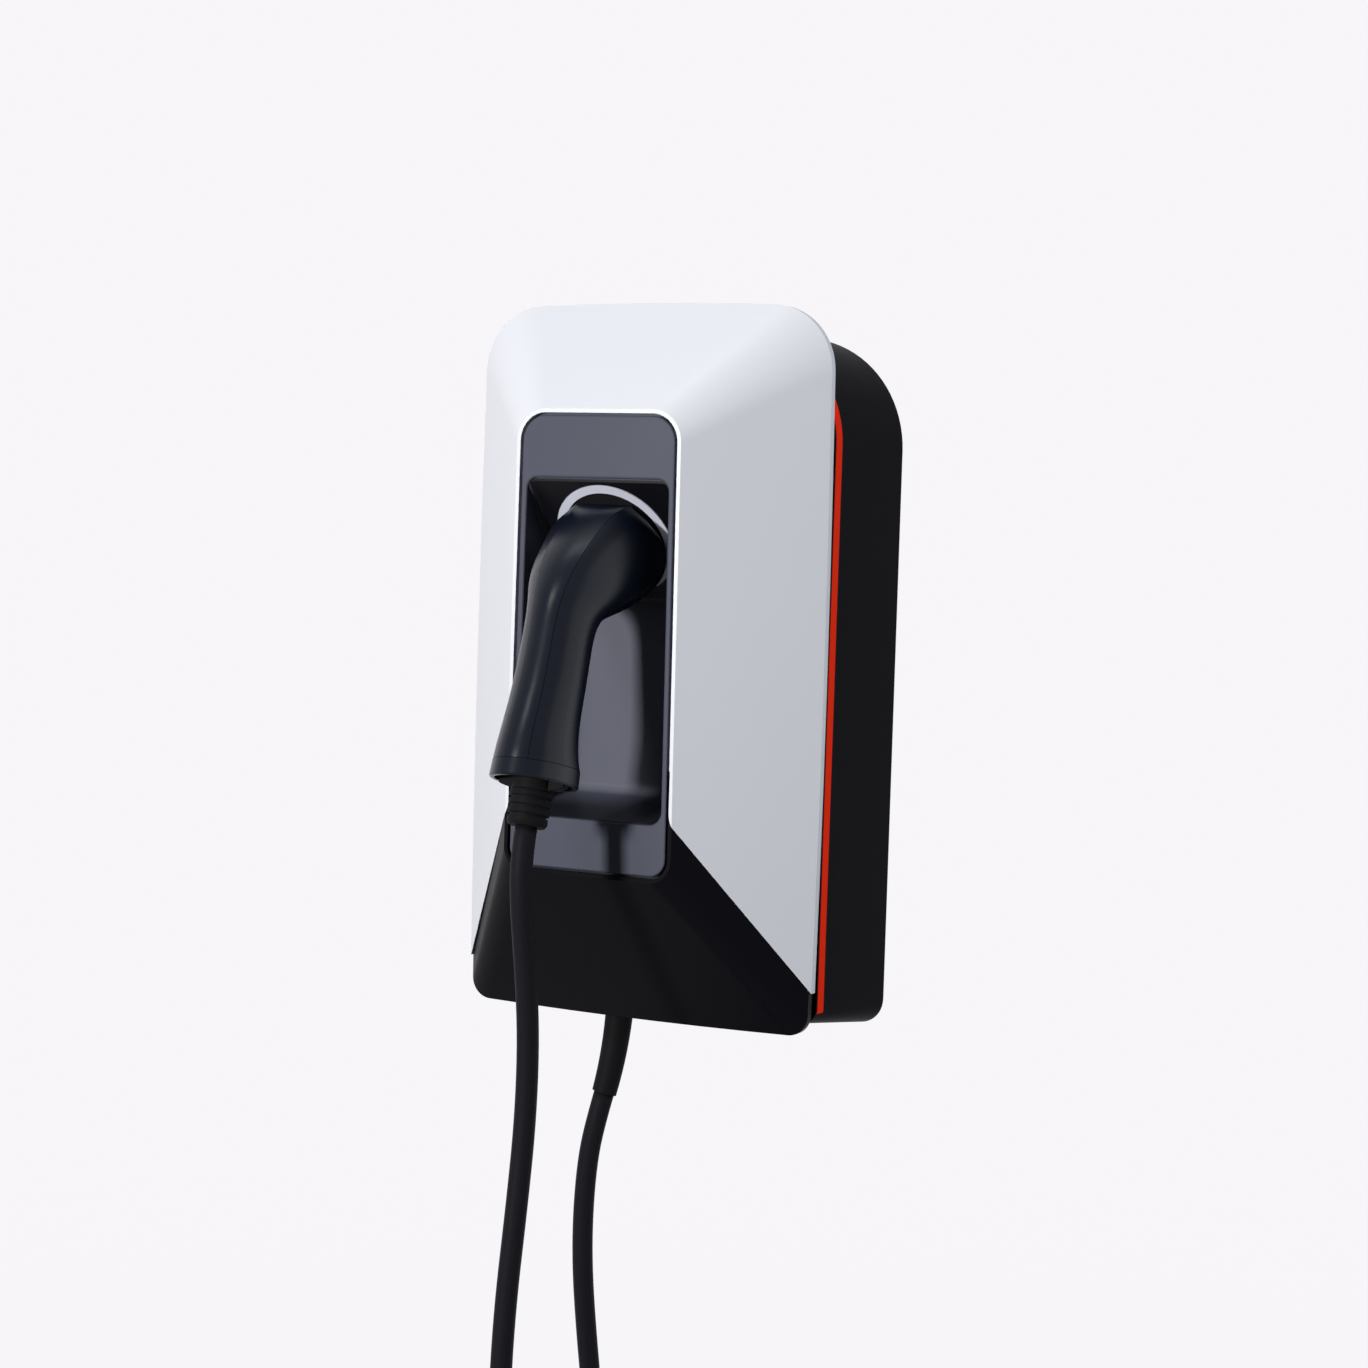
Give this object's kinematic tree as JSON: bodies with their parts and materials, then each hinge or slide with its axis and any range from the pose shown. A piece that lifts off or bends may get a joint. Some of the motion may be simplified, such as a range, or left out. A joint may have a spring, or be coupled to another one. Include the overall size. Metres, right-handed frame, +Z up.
{
  "type": "wall-mounted vehicle charger",
  "caption": "Wall-mounted vehicle charging station with a faceted white cover, dark console, docked charging connector and coiled cable.",
  "frame": {"origin": "on the wall plane, at the middle of the cover's width and height", "axes": "+Z up, -Y out of the wall towards the viewer, +X to the viewer's right"},
  "size_m": [0.233, 0.2483, 0.8043],
  "materials": {
    "cover_white": "satin",
    "cover_black": "satin",
    "panel_grey": "fine grain",
    "housing_black": "satin",
    "socket_black": "matte",
    "handle_black": "satin, fine grain",
    "ring_white": "clear white",
    "accent_red": "satin",
    "cable_rubber": "satin jacket",
    "sleeve_rubber": "matte",
    "seal_rubber": "matte",
    "tie_fabric": "woven strap",
    "bracket_metal": "powder coat",
    "screw_steel": "zinc plated",
    "contact_metal": "silver plated",
    "board_green": "solder mask",
    "component_dark": "moulded",
    "component_grey": "moulded"
  },
  "bodies": {
    "station": {"front_cover": "cover_white", "lower_cover": "cover_black", "console_panel": "panel_grey", "light_ring": "ring_white", "led_board": "board_green", "dock_socket": "socket_black", "rear_housing": "housing_black", "accent_strip_left": "accent_red", "accent_strip_right": "accent_red", "cover_seal": "seal_rubber", "wall_bracket": "bracket_metal", "main_board": "board_green", "contactor": "component_dark", "power_supply": "component_dark", "terminal_block": "component_grey", "current_sensor": "component_dark", "reader_board": "board_green", "board_screws": "screw_steel", "cable_gland": "socket_black", "gland_nut": "socket_black", "entry_plug": "housing_black", "gland_sleeve": "sleeve_rubber", "cable_plug_drop": "cable_rubber", "cable_gland_drop": "cable_rubber", "cable_coil": "cable_rubber", "coil_ties": "tie_fabric"},
    "connector": {"handle_left": "handle_black", "handle_right": "handle_black", "handle_screws": "screw_steel", "connector_nose": "socket_black", "contact_sleeves": "contact_metal", "nose_seal": "seal_rubber", "end_collar": "handle_black", "cable_clamp": "socket_black", "strain_relief": "sleeve_rubber"}
  },
  "joints": [
    {"name": "connector_pull", "type": "slide", "parent": "station", "child": "connector", "axis": [0, -0.8192, -0.5736], "range_m": [0, 0.03], "deforming": ["cable_plug_drop"]}
  ]
}
